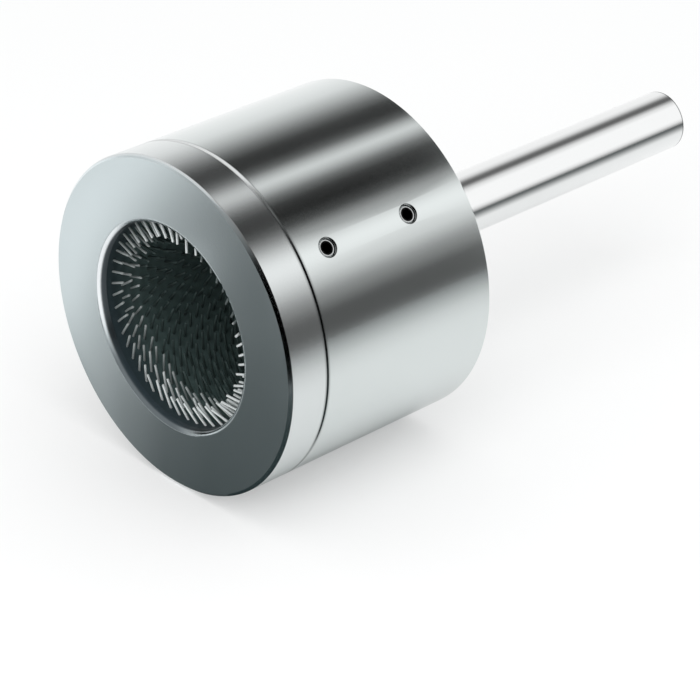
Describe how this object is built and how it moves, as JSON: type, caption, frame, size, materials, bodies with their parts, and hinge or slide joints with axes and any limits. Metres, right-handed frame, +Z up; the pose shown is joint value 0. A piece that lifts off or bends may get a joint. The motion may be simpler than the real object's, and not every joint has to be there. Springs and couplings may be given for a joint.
{
  "type": "tube end brush",
  "caption": "Cup-shaped rotary brush with wires pointing inwards, in a clamped cartridge, for cleaning the outside of a tube's end.",
  "frame": {"origin": "centre of the shank where it leaves the rear face of the body", "axes": "+X along the tool axis, out along the shank; the mouth faces -X; +Z up with the tool lying on its side"},
  "size_m": [0.0659, 0.032, 0.032],
  "materials": {
    "body_steel": "turned satin steel",
    "flange_steel": "faced and turned satin steel",
    "shank_steel": "ground bright steel",
    "spring_steel": "dark phosphated spring steel",
    "screw_steel": "black oxide",
    "wire_steel": "bright drawn wire",
    "fabric_plies": "woven plies bonded with rubber",
    "rubber_facing": "dull dark green rubber"
  },
  "bodies": {
    "holder": {"housing": "body_steel", "shank": "shank_steel"},
    "brush_cartridge": {"flanged_sleeve": "flange_steel", "fabric_backing": "fabric_plies", "rubber_facing": "rubber_facing", "retaining_ring": "spring_steel", "wire_row_01": "wire_steel", "wire_row_02": "wire_steel", "wire_row_03": "wire_steel", "wire_row_04": "wire_steel", "wire_row_05": "wire_steel", "wire_row_06": "wire_steel", "wire_row_07": "wire_steel", "wire_row_08": "wire_steel", "wire_row_09": "wire_steel", "wire_row_10": "wire_steel", "wire_row_11": "wire_steel", "wire_row_12": "wire_steel", "wire_row_13": "wire_steel", "wire_row_14": "wire_steel", "wire_row_15": "wire_steel", "wire_row_16": "wire_steel"},
    "front_screw": {"front_set_screw": "screw_steel"},
    "rear_screw": {"rear_set_screw": "screw_steel"}
  },
  "joints": [
    {"name": "cartridge_pull_out", "type": "slide", "parent": "holder", "child": "brush_cartridge", "axis": [-1, 0, 0], "range_m": [0, 0.016]},
    {"name": "front_screw_out", "type": "slide", "parent": "holder", "child": "front_screw", "axis": [0, -0.7826, 0.6225], "range_m": [0, 0.0032]},
    {"name": "rear_screw_out", "type": "slide", "parent": "holder", "child": "rear_screw", "axis": [0, -0.7826, 0.6225], "range_m": [0, 0.0032]}
  ]
}
